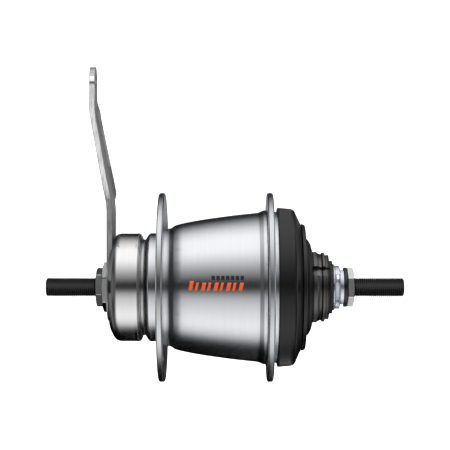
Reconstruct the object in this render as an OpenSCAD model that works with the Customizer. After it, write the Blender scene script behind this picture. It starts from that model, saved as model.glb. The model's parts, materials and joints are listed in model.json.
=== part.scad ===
// Bicycle hub gear with coaster brake. The axle lies along X with the drive side at +X,
// the brake arm stands up along +Z, and the origin is on the axle, midway between the locknut faces.
// Angles are clock angles: 0 is up, and they grow as a turn about +X does. Outlines are [radius, x].

/* [Axle] */
// Overall length of the axle
axle_len = 184; // [180:1:192]
// Width over the outer faces of the two locknuts
over_locknuts = 132; // [131:0.5:133]
// Radius over the axle's M10 thread
thread_r = 5; // [4.8:0.1:5]
// Radius of the axle's thick middle
axle_r = 6.5; // [6.4:0.05:6.5]
// Left and right ends of the thick middle
axle_body = [-49, 58.6];
// Width across flats of the left locknut
left_nut_af = 17.6; // [16:0.1:18]
// Width across flats of the nut that clamps the brake arm
arm_nut_af = 22.6; // [21:0.1:24]
// Width across flats of the right locknut
right_nut_af = 17.4; // [16:0.1:18]

/* [Shell] */
// Radius of the spoke flanges
flange_r = 48.5; // [47.5:0.5:50]
// Thickness of the spoke flanges
flange_t = 3.2; // [3:0.1:3.4]
// Middle plane of the left flange
left_flange_x = -32.2; // [-32.4:0.1:-32]
// Middle plane of the right flange
right_flange_x = 23; // [22.8:0.1:23.2]
// Spoke holes in each flange
spoke_count = 18; // [16:2:20]
// Radius of the circle that the left flange's spoke holes lie on
left_holes_r = 44.3; // [44.2:0.1:45]
// Radius of the circle that the right flange's spoke holes lie on
right_holes_r = 43.7; // [43:0.1:43.8]
// Radius of a spoke hole
spoke_hole_r = 1.45; // [1.3:0.05:1.6]
// Radius of the brake drum inside the shell
drum_r = 21; // [21:0.05:21.2]

/* [Brake arm] */
// Height of the arm's tip above the axle
arm_top = 113.2; // [111:0.2:115]
// Width of the arm where it leaves the eye
arm_neck_w = 28; // [26:0.5:28]
// Width of the arm at its widest
arm_wide_w = 32; // [30:0.5:33]
// Width of the arm at its tip
arm_tip_w = 16; // [15:0.5:17]
// Thickness of the arm's plate
arm_t = 3; // [2.6:0.1:3]
// How far the arm leans outwards between its two bends
arm_lean = 9.3; // [8:0.1:10]
// Radius of the clip bolt's hole at the arm's tip
clip_hole_r = 3.25; // [3:0.05:3.5]

/* [Gears] */
// Module of all the gears
gear_module = 0.8; // [0.8:0.1:0.8]
// Pressure angle of all the gears
pressure_angle = 25; // [25:1:25]
// Backlash on each gear, along the pitch circle
backlash = 0.08; // [0.06:0.01:0.1]

/* [Drive side] */
// Radius of the seat that the sprocket slides onto
sprocket_seat_r = 18.2; // [18.1:0.1:18.3]
// Width of a sprocket notch
notch_w = 6; // [5:0.5:7]
// Turn of the shift sleeve from first gear to the last
shift_travel = 80; // [80:1:80]

/* [Hidden] */
$fn = 64;

half_width = over_locknuts / 2;
nut_seat_r = thread_r - 0.25;
arm_outer_x = -60;
arm_inner_x = arm_outer_x + arm_t;
arm_nut_x = -62.6;
washer_x = 60.9;
right_nut_x = 62.4;

sun_large_teeth = 30;
sun_small_teeth = 24;
planet_large_teeth = 21;
planet_small_teeth = 15;
ring_teeth = sun_small_teeth + 2 * planet_large_teeth;
orbit_r = gear_module * (sun_small_teeth + planet_large_teeth) / 2;
addendum = 0.9 * gear_module;
dedendum = 1.15 * gear_module;
planet_angles = [0, 120, 240];
post_angles = [60, 180, 300];
pin_r = 2.5;
running_gap = 0.08;
under_cap_r = sprocket_seat_r - 0.4;

pawl_reach = 6.3;
pawl_barrel_r = 1.8;
pawl_swing = 14;
pawl_angles = [0, 180];
carrier_pivot_r = 21.2;
carrier_tip_r = 24.3;
ring_pivot_r = 29.2;
ring_tip_r = 32.3;
driver_pivot_r = 19.6;
driver_tip_r = 22.5;
drive_notches = 24;
shell_notches = 44;

sun_pawl_swing = 0.2 * shift_travel;
sun_pawl_pivot = [4.4, 2.2];
sun_bore_r = axle_r + 0.1;
sun_notch_r = 7.65;
sleeve_bore_r = axle_r + 0.2;
lug_angles = [60, 240];

// ---- helpers ----

// Turns a drawing so that its own X is up and its height runs along +X of the part
module upright() rotate([0, 90, 0]) rotate([0, 0, 180]) children();

// Solid of revolution about the axle, from an outline of [radius, x] points
module turned(outline) rotate([0, 90, 0]) rotate_extrude() polygon(outline);

// Plain ring about the axle
module ring(inner_r, outer_r, x0, x1)
    turned([[inner_r, x0], [outer_r, x0], [outer_r, x1], [inner_r, x1]]);

// Plain rod about the axle
module rod(r, x0, x1) ring(0, r, x0, x1);

// A flat drawing in clock angles, given thickness from x0 to x1
module slab(x0, x1) translate([x0, 0, 0]) upright() linear_extrude(x1 - x0) children();

// Copies of the children at clock angles
module around(angles) for (a = angles) rotate([a, 0, 0]) children();

// The children turned about a line along X through [up, across]
module swung(pivot, angle)
    translate([0, -pivot[1], pivot[0]]) rotate([angle, 0, 0]) translate([0, pivot[1], -pivot[0]]) children();

function polar(r, a) = [r * cos(a), r * sin(a)];
function every(n) = [for (k = [0 : n - 1]) 360 * k / n];
function between(lo, hi, n) = [for (k = [0 : n]) lo + (hi - lo) * k / n];
function backwards(list) = [for (k = [len(list) - 1 : -1 : 0]) list[k]];

// Flat sector between two radii and two clock angles
module sector(inner_r, outer_r, a0, a1) {
    angles = between(a0, a1, 12);
    polygon(concat([for (a = angles) polar(outer_r, a)], [for (a = backwards(angles)) polar(inner_r, a)]));
}

// ---- gear teeth ----

function pitch_r(teeth) = gear_module * teeth / 2;
function base_r(teeth) = pitch_r(teeth) * cos(pressure_angle);
function involute(a) = tan(a) * 180 / PI - a;
function half_tooth(teeth, r, spare) =
    let (safe_r = max(r, base_r(teeth)))
    90 / teeth + spare / 2 / pitch_r(teeth) * 180 / PI
        + involute(pressure_angle) - involute(acos(base_r(teeth) / safe_r));
function flank_radii(teeth, low_r, high_r) =
    low_r < base_r(teeth)
        ? concat([low_r], between(base_r(teeth), high_r, 3))
        : between(low_r, high_r, 3);
function tooth(teeth, middle, low_r, high_r, spare) =
    let (radii = flank_radii(teeth, low_r, high_r))
    concat([for (r = radii) polar(r, middle - half_tooth(teeth, r, spare))],
        [for (r = backwards(radii)) polar(r, middle + half_tooth(teeth, r, spare))]);

module gear_outline(teeth, low_r, high_r, spare)
    polygon([for (a = every(teeth)) each tooth(teeth, a, low_r, high_r, spare)]);

module spur(teeth, x0, x1)
    slab(x0, x1) gear_outline(teeth, pitch_r(teeth) - dedendum, pitch_r(teeth) + addendum, -backlash);

// ---- ratchets and pawls ----

// Saw-tooth hole: each notch starts with a steep face at first + k * pitch. The face leans
// back from the radius by lean degrees, so that it lies along the end of a swung-out pawl
module saw_hole(notches, tip_r, root_r, first, lean) {
    set_back = (root_r - tip_r) * tan(lean) / tip_r * 180 / PI;
    polygon([for (a = every(notches)) each [polar(root_r, first + a),
        polar(tip_r, first + a + 360 / notches - set_back)]]);
}

// Where a drive pawl's nose stands, up from its pivot, with the pawl folded in
function nose_up(pivot_r, tip_r) = sqrt(tip_r * tip_r - pawl_reach * pawl_reach) - pivot_r;
// Clock angle of the nose's corner with the pawl swung out
function nose_angle(pivot_r, tip_r) =
    let (up = nose_up(pivot_r, tip_r))
    atan2(up * sin(pawl_swing) - pawl_reach * cos(pawl_swing),
        pivot_r + up * cos(pawl_swing) + pawl_reach * sin(pawl_swing));

// Ratchet teeth for a pair of drive pawls, cut out of the piece around them
module ratchet_hole(notches, pivot_r, tip_r) {
    nose = nose_angle(pivot_r, tip_r);
    saw_hole(notches, tip_r + 0.3, tip_r + 1.7, nose - 0.7, pawl_swing - nose);
}

// A drive pawl, folded in, at clock angle 0
module pawl(pivot_r, tip_r, x0, x1) {
    up = nose_up(pivot_r, tip_r);
    slab(x0, x1) polygon([[pivot_r + 1.7, -0.5], [pivot_r + 2, -3], [pivot_r + up, -pawl_reach],
        [pivot_r + 0.5, -pawl_reach], [pivot_r - 0.6, -3], [pivot_r - 1.3, -1.2], [pivot_r, 0]]);
    translate([0, 0, pivot_r]) rod(pawl_barrel_r, x0, x1);
}

// The same pawl swung out against its ratchet
module pawl_out(pivot_r, tip_r, x0, x1)
    swung([pivot_r, 0], pawl_swing) pawl(pivot_r, tip_r, x0, x1);

// The room that a drive pawl needs in the piece that carries it
module pawl_pocket(pivot_r, host_r, x0, x1) {
    translate([0, 0, pivot_r]) rod(pawl_barrel_r + running_gap, x0, x1);
    slab(x0, x1) polygon([[pivot_r - 1.7, -0.8], [pivot_r, -pawl_reach - 0.5],
        [host_r + 2, -pawl_reach - 0.5], [host_r + 2, 0.7], [pivot_r + 1.8, 0.4]]);
}

// A sun pawl's nose, folded in, at clock angle 0
module sun_nose(x0, x1)
    slab(x0, x1) polygon([[5.6, 1.4], [5.6, -0.8], [5.95, -2.3], [4.6, -2.3], [4.2, 0.6], [4.4, 2.2]]);

module sun_pawl(nose_x0, nose_x1) {
    translate([0, -sun_pawl_pivot[1], sun_pawl_pivot[0]]) rod(1.4, nose_x0, -2.1);
    sun_nose(nose_x0, nose_x1);
    sun_nose(-5.1, -2.1);
}

module sun_pawl_pocket(x0) {
    translate([0, -sun_pawl_pivot[1], sun_pawl_pivot[0]]) rod(1.4 + running_gap, x0, -1.8);
    slab(x0, -1.8) polygon([[4, 2.2], [4, -2.8], [7, -2.8], [7, 2.4], [5.4, 2.8]]);
}

// Bore of a sun gear, with notches that a sun pawl locks into
module sun_bore(notches, first)
    for (a = every(notches))
        slab(-30, 0) polygon([polar(4, first + a), polar(sun_bore_r - 0.3, first + a - 19.3),
            polar(sun_notch_r, first + a - 18), polar(sun_notch_r, first + a - 13),
            polar(sun_bore_r - 0.3, first + a - 0.6)]);

// ---- bearings ----

module balls(count, path_r, ball_r, x)
    around(every(count)) translate([x, 0, path_r]) sphere(ball_r);

// A ring between the balls, with a pocket for each ball and a closed rim at rim_x
module ball_cage(count, path_r, ball_r, x, rim_x) {
    side = sign(rim_x - x);
    pocket_x = x + side * (ball_r + 0.15);
    half = asin((ball_r + 0.15) / (path_r - 0.6));
    difference() {
        ring(path_r - 0.6, path_r + 0.6, min(x, rim_x), max(x, rim_x));
        for (a = every(count))
            slab(min(x - side, pocket_x), max(x - side, pocket_x)) polygon([polar(path_r - 2, a - half),
                polar(path_r + 2, a - half), polar(path_r + 2, a + half),
                polar(path_r - 2, a + half)]);
    }
}

// ---- nuts ----

// Hexagon nut with both faces chamfered; corner is the clock angle of one corner
module hex_nut(across_flats, hole_r, x0, x1, corner) {
    corner_r = across_flats / sqrt(3);
    face_r = across_flats / 2 - 0.3;
    past_r = corner_r + 0.2;
    chamfer = (past_r - face_r) / 2;
    difference() {
        intersection() {
            slab(x0, x1) rotate(corner) circle(corner_r, $fn = 6);
            rotate([corner + 20, 0, 0]) turned([[0, x0], [face_r, x0], [past_r, x0 + chamfer],
                [past_r, x1 - chamfer], [face_r, x1], [0, x1]]);
        }
        rod(hole_r, x0 - 1, x1 + 1);
    }
}

// ---- pieces that stand still ----

module axle() color("dimgray")
    difference() {
        turned([[0, -axle_len / 2], [thread_r - 1, -axle_len / 2], [thread_r, 1 - axle_len / 2],
            [thread_r, -half_width], [nut_seat_r, -half_width], [nut_seat_r, axle_body[0]],
            [axle_r, axle_body[0]], [axle_r, axle_body[1]], [nut_seat_r, axle_body[1]],
            [nut_seat_r, half_width], [thread_r, half_width], [thread_r, axle_len / 2 - 1],
            [thread_r - 1, axle_len / 2], [0, axle_len / 2]]);
        rotate([90, 0, 0]) sun_pawl_pocket(-23.7);
        rotate([270, 0, 0]) sun_pawl_pocket(-14.3);
    }

module left_locknut() color("gray") hex_nut(left_nut_af, thread_r, -half_width, arm_nut_x, 49);

module arm_nut() color("gray") hex_nut(arm_nut_af, thread_r, arm_nut_x, arm_outer_x, 5);

// The arm seen along the axle
module arm_outline() {
    wide_z = 53;
    tip_z = arm_top - arm_tip_w / 2;
    circle(17.2);
    polygon([for (side = [1, -1]) each side > 0
        ? [[0, arm_neck_w / 2], [42, arm_neck_w / 2], [wide_z, arm_wide_w / 2], [66, 13.4],
            [76, 11.5], [86, 9.6], [94, arm_tip_w / 2], [tip_z, arm_tip_w / 2]]
        : [[tip_z, -arm_tip_w / 2], [94, -arm_tip_w / 2], [86, -9.6], [76, -11.5], [66, -13.4],
            [wide_z, -arm_wide_w / 2], [42, -arm_neck_w / 2], [0, -arm_neck_w / 2]]]);
    translate([tip_z, 0]) circle(arm_tip_w / 2);
}

// The arm seen from the side, as wide as the part needs; moved shifts it along the axle
module arm_side(moved)
    translate([moved, 20, 0]) rotate([90, 0, 0]) linear_extrude(40)
        polygon([[arm_outer_x, -20], [arm_inner_x, -20], [arm_inner_x, 42],
            [arm_inner_x - arm_lean, 90], [arm_inner_x - arm_lean, 120],
            [arm_outer_x - arm_lean, 120], [arm_outer_x - arm_lean, 90], [arm_outer_x, 42]]);

module brake_arm() color("silver")
    difference() {
        union() {
            intersection() {
                slab(-80, -50) arm_outline();
                arm_side(0);
            }
            // the back edge is turned in, towards the wheel
            intersection() {
                slab(-80, -50) difference() {
                    arm_outline();
                    translate([0, 2.2]) arm_outline();
                    translate([-50, -50]) square([96, 100]);
                    translate([95, -50]) square(100);
                }
                arm_side(1.5);
            }
        }
        rod(8.9, -70, -50);
        translate([0, 0, arm_top - arm_tip_w / 2]) rod(clip_hole_r, -80, -60);
    }

module brake_cap() color("lightgray")
    difference() {
        turned([[9.1, arm_inner_x], [17.4, arm_inner_x], [17.4, -59.4], [21.5, -58.7],
            [23.9, -57.6], [25.8, -56.6], [26.8, -55.6], [27.4, -54.6], [27.7, -53.4],
            [27.7, -45.2], [27.9, -44], [27.3, -42.9], [26.2, -42.3], [25.1, -41.9],
            [25.1, -43.4], [26, -44.4], [26.2, -45.4], [26.2, -53], [25.6, -54.4],
            [24.4, -55.4], [22.6, -55.8], [9.1, -55.8]]);
        // the arm leaves the cap's recess here
        translate([-61, -arm_neck_w / 2 - 0.3, 0]) cube([61 + arm_inner_x, arm_neck_w + 0.6, 40]);
    }

// Cone, brake anchor and outer bearing race of the brake side in one piece
module brake_cone() color("silver") {
    difference() {
        union() {
            turned([[thread_r, arm_outer_x], [8.8, arm_outer_x], [8.8, -55.8], [17, -55.8],
                [17, -54.8], [16.65, -54.4], [16.65, -46.6], [axle_r + 0.1, -46.6],
                [axle_r + 0.1, axle_body[0]], [thread_r, axle_body[0]]]);
            for (a = post_angles) slab(-47.4, -43) sector(15.5, 20.3, a - 5, a + 5);
        }
        rod(thread_r, -61, axle_body[0]);
        rod(17.5, -46.6, -42);
    }
}

module right_cone() color("silver")
    difference() {
        turned([[8.2, 46.8], [9.85, 46.8], [9.85, 53.2], [11.5, 53.2], [11.5, 55.2], [11.9, 55.4],
            [11.9, 55.9], [11.1, 56.3], [11.1, 58.5], [9.9, 58.9], [9.9, 60.7], [thread_r, 60.7],
            [thread_r, axle_body[1]], [8.2, axle_body[1]]]);
        // windows that the shift sleeve's lugs look out of
        for (a = lug_angles) slab(56.4, 58.4) sector(7, 13, a - 9, a + shift_travel + 9);
        // wrench flats
        for (side = [0, 180]) rotate([side, 0, 0]) translate([58.9, -15, 8.6]) cube([5, 30, 5]);
    }

module right_cone_seal() color("black")
    difference() {
        ring(11.5, 13.6, 53.3, 54.9);
        around(every(24)) translate([54.2, -0.5, 12.9]) cube([2, 1, 2]);
    }

module right_washer() color("dimgray") ring(thread_r, 10.15, washer_x, right_nut_x - 0.01);

module right_locknut() color("silver") hex_nut(right_nut_af, thread_r, right_nut_x, half_width, 60);

module sun_gear_large() color("goldenrod")
    difference() {
        spur(sun_large_teeth, -24.4, -16.6);
        rod(sun_bore_r, -30, 0);
        sun_bore(12, 90);
    }

module sun_washer() color("silver") ring(axle_r + 0.1, 8.4, -16.4, -15);

// Ring that draws the three shoes together
module shoe_spring() color("gray")
    translate([-39.5, 0, 0]) rotate([0, 90, 0]) rotate_extrude() translate([19.9, 0]) circle(0.3);

// Torsion spring that returns the shift sleeve: a closed tube swept along a helix
module shift_spring() color("gray") {
    turns = 4;
    steps = turns * 14;
    sides = 6;
    wire_r = 0.45;
    coil_r = 9.2;
    rings = [for (k = [0 : steps]) for (s = [0 : sides - 1])
        let (turn = 360 * turns * k / steps, r = coil_r + wire_r * cos(360 * s / sides))
        [36 + 6 * k / steps + wire_r * sin(360 * s / sides), r * sin(turn), r * cos(turn)]];
    sheets = [for (k = [0 : steps - 1]) for (s = [0 : sides - 1])
        let (a = k * sides + s, b = k * sides + (s + 1) % sides)
        [a, b, b + sides, a + sides]];
    ends = [[for (s = [sides - 1 : -1 : 0]) s], [for (s = [0 : sides - 1]) steps * sides + s]];
    polyhedron(rings, concat(sheets, ends));
}

// ---- pieces that turn with the shell ----

module hub_shell() color("silver")
    turned([[21.95, -53], [24, -53], [24, -40.8], [24.9, -40.6], [27.1, -39.2], [27.85, -38.2],
        [27.85, left_flange_x - flange_t / 2], [30.2, left_flange_x - flange_t / 2],
        [30.2, -28.3], [31, -26.8], [31.7, -26], [32.6, -23.2], [33.7, -18], [34.6, -12.9], [35.4, -7.8],
        [36.1, -2.6], [36.8, 2.6], [37.4, 7.7], [37.9, 12.6], [38.3, 16.3], [38.5, 17.2],
        [39.45, 19.3], [39.6, 19.9], [39.6, 21.2], [38.8, 21.3], [38.8, 30], [35.8, 30], [35.8, 10.5], [34.4, 9],
        [33.4, 0], [31.2, -14], [28.8, -24.5], [27.3, -26.2], [27.3, -31], [drum_r, -31],
        [drum_r, -47.2], [21.95, -47.6]]);

// Spoke flange: rounded rim, bored for the shell, with a ring of spoke holes
module flange(x, bore_r, holes_r, first_hole)
    difference() {
        turned([[bore_r, x - flange_t / 2], [flange_r - 1, x - flange_t / 2],
            [flange_r - 0.3, x - flange_t / 2 + 0.4], [flange_r, x - flange_t / 2 + 1.1],
            [flange_r, x + flange_t / 2 - 1.1], [flange_r - 0.3, x + flange_t / 2 - 0.4],
            [flange_r - 1, x + flange_t / 2], [bore_r, x + flange_t / 2]]);
        around(every(spoke_count)) rotate([first_hole, 0, 0]) translate([0, 0, holes_r])
            rod(spoke_hole_r, x - flange_t, x + flange_t);
    }

module left_flange() color("gray") flange(left_flange_x, 30.2, left_holes_r, 0);

module right_flange() color("gray")
    flange(right_flange_x, 38.8, right_holes_r, 180 / spoke_count);

module left_dust_ring() color("lightgray") ring(24, 24.65, -44, -40.8);

module left_ratchet_ring() color("dimgray")
    slab(-30.6, -26.2) difference() {
        circle(27.3);
        ratchet_hole(drive_notches, carrier_pivot_r, carrier_tip_r);
    }

module right_ratchet_ring() color("dimgray")
    slab(11, 16.6) difference() {
        circle(35.8);
        ratchet_hole(shell_notches, ring_pivot_r, ring_tip_r);
    }

module right_ball_cup() color("silver")
    turned([[35.8, 20], [35.8, 30], [30.45, 30], [30.45, 24], [28.8, 23.4], [28.8, 21.6],
        [31.5, 20]]);

module outer_dust_cap() color([0.2, 0.2, 0.2])
    turned([[38.8, 26.6], [40.5, 26.6], [40.9, 27], [40.9, 27.5], [40.4, 33.2], [40.1, 34.6],
        [39.4, 35.5], [33.6, 38.1], [32.9, 38.5], [31.7, 38.5], [31.7, 37.4], [38, 34.6],
        [38.8, 33]]);

// ---- pieces that turn with the planet carrier ----

module planet_carrier() color("darkgray")
    difference() {
        union() {
            ring(6.9, 23.6, -30.3, -25.8);
            ring(6.9, 12, -31.6, -30.3);
            ring(8.6, 24.4, -4.6, -0.6);
            around(post_angles) translate([0, 0, 18.5]) rod(4.6, -26, -4.5);
        }
        around(planet_angles) translate([0, 0, orbit_r]) rod(pin_r, -32, 0);
        around(pawl_angles) rotate([90, 0, 0])
            pawl_pocket(carrier_pivot_r, 23.6, -30.5, -26.1);
    }

module planet_pins() color("silver")
    around(planet_angles) translate([0, 0, orbit_r]) rod(pin_r, -30, -1);

// Six shallow lobes, which lift the rollers when the cam turns back
module brake_cam() color("darkgray")
    slab(-46, -31.6) difference() {
        polygon([for (a = every(72)) polar(13 - 0.4 * cos(6 * a), a)]);
        circle(6.9);
    }

module roller_cage() color("goldenrod")
    difference() {
        ring(13.7, 16.2, -45.8, -33.2);
        around(every(6)) translate([0, 0, 14.85]) rod(2.15, -45.2, -33.8);
    }

module brake_rollers() color("silver")
    around(every(6)) translate([0, 0, 14.85]) rod(2, -45, -34);

module carrier_pawl() rotate([90, 0, 0]) pawl_out(carrier_pivot_r, carrier_tip_r, -30.1, -26.3);

module carrier_pawl_1() color("dimgray") carrier_pawl();

module carrier_pawl_2() color("dimgray") rotate([180, 0, 0]) carrier_pawl();

// Stepped planet: the small end meets the large sun, the large end the small sun and the ring
module planet()
    translate([0, 0, orbit_r]) difference() {
        union() {
            rod(4, -25.5, -24.6);
            spur(planet_small_teeth, -24.6, -16.4);
            rod(4.9, -16.4, -15.8);
            spur(planet_large_teeth, -15.8, -6.2);
            rod(4, -6.2, -4.9);
        }
        rod(pin_r + running_gap, -26, -4);
    }

// A planet's teeth stay upright however far round it is mounted
module planet_at(a)
    translate([0, -orbit_r * sin(a), orbit_r * cos(a) - orbit_r]) planet();

module planet_1() color("goldenrod") planet_at(planet_angles[0]);

module planet_2() color("goldenrod") planet_at(planet_angles[1]);

module planet_3() color("goldenrod") planet_at(planet_angles[2]);

// ---- ring gear, driver and their pawls ----

module ring_gear() color("darkgray")
    difference() {
        turned([[20, -15.2], [29.8, -15.2], [29.8, 10.8], [31.6, 10.8], [31.6, 16.2], [20, 16.2]]);
        slab(-16, -5.6) gear_outline(ring_teeth, pitch_r(ring_teeth) - addendum,
            pitch_r(ring_teeth) + dedendum, backlash);
        rod(25, -5.7, 0.8);
        slab(0.7, 9.2) ratchet_hole(drive_notches, driver_pivot_r, driver_tip_r);
        rod(23.2, 9.1, 17);
        around(pawl_angles) pawl_pocket(ring_pivot_r, 31.6, 11.3, 17);
    }

module ring_pawl_1() color("dimgray") pawl(ring_pivot_r, ring_tip_r, 11.6, 15.9);

module ring_pawl_2() color("dimgray") rotate([180, 0, 0]) pawl(ring_pivot_r, ring_tip_r, 11.6, 15.9);

module driver() color("dimgray")
    difference() {
        turned([[10.2, 1.2], [22, 1.2], [22, 8.8], [20.5, 8.8], [20.5, 9.6], [23.1, 9.6],
            [23.1, 17.4], [24.4, 18], [24.4, 21.6], [25.6, 22.4], [25.6, 30.4], [22, 31],
            [22, 42.2], [under_cap_r, 43.4], [under_cap_r, 44.85],
            [sprocket_seat_r, 44.85], [sprocket_seat_r, 46.9], [17, 47.5],
            [17, 49.2], [17.8, 49.4], [17.8, 50.8], [16.6, 51.2], [16.6, 53], [14.95, 53],
            [14.95, 45.5], [10.2, 44.6]]);
        around(pawl_angles) pawl_pocket(driver_pivot_r, 22, 0, 8.5);
        around([60, 180, 300]) translate([44.9, -notch_w / 2, 16.4]) cube([10, notch_w, 6]);
    }

module driver_pawl_1() color("dimgray") pawl_out(driver_pivot_r, driver_tip_r, 1.5, 8.3);

module driver_pawl_2() color("dimgray") rotate([180, 0, 0]) driver_pawl_1();

module driver_dust_cap() color([0.2, 0.2, 0.2])
    turned([[22, 39.2], [31.8, 39.2], [32.3, 38.9], [32.6, 39.2], [32.2, 40.6], [31.7, 40.9],
        [26, 40.9], [24.9, 41.3], [24.7, 42.2], [24.1, 42.7], [23.3, 43.2], [22.4, 43.8],
        [20.5, 44.3], [18.4, 44.8], [under_cap_r, 44.8], [under_cap_r, 43.4],
        [22, 42.2]]);

// ---- small sun, its pawls and the shift sleeve ----

module sun_gear_small() color("goldenrod")
    difference() {
        spur(sun_small_teeth, -14.8, -6.4);
        rod(sun_bore_r, -30, 0);
        sun_bore(16, 270);
    }

// Inside radius of the sleeve's cam at clock angle a: high where a pawl may rise
function cam_r(a) = lookup(a, [[0, 6.75], [72, 7.6], [100, 7.6], [108, 6.75], [158, 6.75],
    [165, 7.6], [190, 7.6], [257, 6.75], [360, 6.75]]);

module shift_sleeve() color("silver") {
    slab(-5.4, -1.6) difference() {
        circle(8.3);
        polygon([for (a = every(90)) polar(cam_r(a), a)]);
    }
    ring(sleeve_bore_r, 8.3, -1.6, -1);
    ring(sleeve_bore_r, 8, -1, 58.3);
    for (a = lug_angles) slab(56.7, 58.1) sector(7.6, 11.6, a - 6, a + 6);
}

// First gear: this pawl stands out and holds the large sun
module sun_pawl_a() color("dimgray")
    rotate([90, 0, 0]) swung(sun_pawl_pivot, sun_pawl_swing) sun_pawl(-23.4, -17);

// Folded in until the sleeve lets it rise into the small sun
module sun_pawl_b() color("dimgray") rotate([270, 0, 0]) sun_pawl(-14, -7);

// ---- brake shoes ----

module brake_shoe(middle)
    difference() {
        slab(-46, -33) sector(17.4, 20.5, middle - 52, middle + 52);
        ring(19, 22, -40.2, -38.8);
    }

module brake_shoe_1() color("peru") brake_shoe(planet_angles[0]);

module brake_shoe_2() color("peru") brake_shoe(planet_angles[1]);

module brake_shoe_3() color("peru") brake_shoe(planet_angles[2]);

// ---- bearings ----

left_path = [18, 19.3, 2.5, -50.5];
right_path = [26, 28, 2.25, 26.5];
driver_path = [12, 12.4, 2.38, 49.5];

module left_balls() color("silver") balls(left_path[0], left_path[1], left_path[2], left_path[3]);

module left_ball_cage() color("tan")
    ball_cage(left_path[0], left_path[1], left_path[2], left_path[3], -54.2);

module right_balls() color("silver") balls(right_path[0], right_path[1], right_path[2], right_path[3]);

module right_ball_cage() color("tan")
    ball_cage(right_path[0], right_path[1], right_path[2], right_path[3], 30);

module driver_balls() color("silver")
    balls(driver_path[0], driver_path[1], driver_path[2], driver_path[3]);

module driver_ball_cage() color("tan")
    ball_cage(driver_path[0], driver_path[1], driver_path[2], driver_path[3], 52.9);

axle();
left_locknut();
arm_nut();
brake_arm();
brake_cap();
brake_cone();
right_cone();
right_cone_seal();
right_washer();
right_locknut();
sun_gear_large();
sun_washer();
shoe_spring();
shift_spring();
hub_shell();
left_flange();
right_flange();
left_dust_ring();
left_ratchet_ring();
right_ratchet_ring();
right_ball_cup();
outer_dust_cap();
planet_carrier();
planet_pins();
brake_cam();
roller_cage();
brake_rollers();
carrier_pawl_1();
carrier_pawl_2();
planet_1();
planet_2();
planet_3();
ring_gear();
ring_pawl_1();
ring_pawl_2();
driver();
driver_dust_cap();
driver_pawl_1();
driver_pawl_2();
sun_gear_small();
shift_sleeve();
sun_pawl_a();
sun_pawl_b();
brake_shoe_1();
brake_shoe_2();
brake_shoe_3();
left_balls();
left_ball_cage();
right_balls();
right_ball_cage();
driver_balls();
driver_ball_cage();
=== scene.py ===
"""Bicycle hub gear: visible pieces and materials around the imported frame.

The axle lies along X, the drive side is at +X, and the brake arm stands up along +Z.
Lengths are in metres unless a name or a comment says millimetres.
"""
import json
import math

import bmesh
import bpy
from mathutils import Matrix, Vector


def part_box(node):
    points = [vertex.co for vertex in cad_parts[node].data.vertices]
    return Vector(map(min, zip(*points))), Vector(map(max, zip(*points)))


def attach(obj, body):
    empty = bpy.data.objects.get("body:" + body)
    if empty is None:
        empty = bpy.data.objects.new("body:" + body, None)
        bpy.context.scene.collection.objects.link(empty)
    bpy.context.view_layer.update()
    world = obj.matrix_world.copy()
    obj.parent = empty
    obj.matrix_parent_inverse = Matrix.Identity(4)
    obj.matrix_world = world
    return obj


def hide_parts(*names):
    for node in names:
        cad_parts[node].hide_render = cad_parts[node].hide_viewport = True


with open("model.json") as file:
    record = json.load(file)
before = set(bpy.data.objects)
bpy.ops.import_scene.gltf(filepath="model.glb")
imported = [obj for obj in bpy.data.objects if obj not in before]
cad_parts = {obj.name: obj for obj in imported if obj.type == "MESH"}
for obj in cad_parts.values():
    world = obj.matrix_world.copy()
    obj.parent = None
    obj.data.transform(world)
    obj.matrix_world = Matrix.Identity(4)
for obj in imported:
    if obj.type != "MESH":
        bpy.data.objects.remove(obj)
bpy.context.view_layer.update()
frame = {"nodes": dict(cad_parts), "record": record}

MM = 0.001
TAU = 2 * math.pi
ROUND_SEGMENTS = 224             # around a large turned piece
SMALL_SEGMENTS = 128             # around a small one
AXLE_SEGMENTS = 96
NUT_SEGMENTS = 216

THREAD_R = 5.0 * MM
THREAD_PITCH = 1.0 * MM
THREAD_DEPTH = 0.72 * MM
CREST_FROM = 4.6 * MM            # the oxide is rubbed lighter outside this radius
FLAT_CLOCK = math.radians(77)    # where the first of the two flats on each end looks
FLAT_R = 4.25 * MM
FLAT_FROM = 67.0 * MM            # the flats start just outside the locknuts
AXLE_END_SOFT = 1.7 * MM
MIDDLE_FROM = -49 * MM           # the axle's plain middle, between its two threads
MIDDLE_TO = 58.6 * MM

ARM_NOTCH_Z = 104.6 * MM         # a shallow nick across the arm's edges, under its round tip


# ---------------------------------------------------------------- node helpers

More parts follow.
